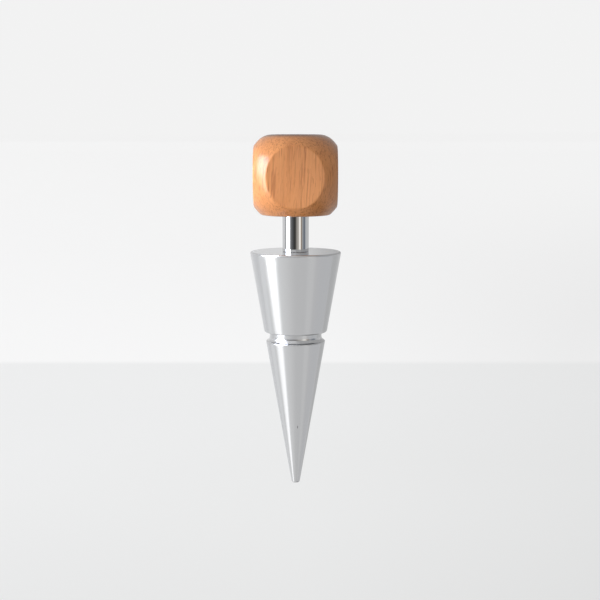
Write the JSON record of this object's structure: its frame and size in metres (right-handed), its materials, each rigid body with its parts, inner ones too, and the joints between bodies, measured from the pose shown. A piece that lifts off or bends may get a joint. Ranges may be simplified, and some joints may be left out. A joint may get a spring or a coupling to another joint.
{
  "type": "bottle stopper",
  "caption": "Bottle stopper: a wooden knob with round flats on a chromed stem, seated in a tapered chromed plug with a groove round it.",
  "frame": {"origin": "centre of the knob's end flat, on the surface that the stopper stands on", "axes": "+Z along the stopper's axis, from the knob's end flat to the tip; +X and +Y square to the knob's side flats. The stopper stands on its head, so it is upside down against its use in a bottle"},
  "size_m": [0.0276, 0.0276, 0.1077],
  "materials": {
    "wood": "satin clear lacquer on orange-brown hardwood, grain along the stem's axis",
    "polished_chrome": "mirror polished chrome plate",
    "satin_chrome": "fine satin chrome plate with faint turning marks"
  },
  "bodies": {
    "root": {"knob": "wood", "stem": "polished_chrome", "stopper_cone": "satin_chrome"}
  },
  "joints": []
}
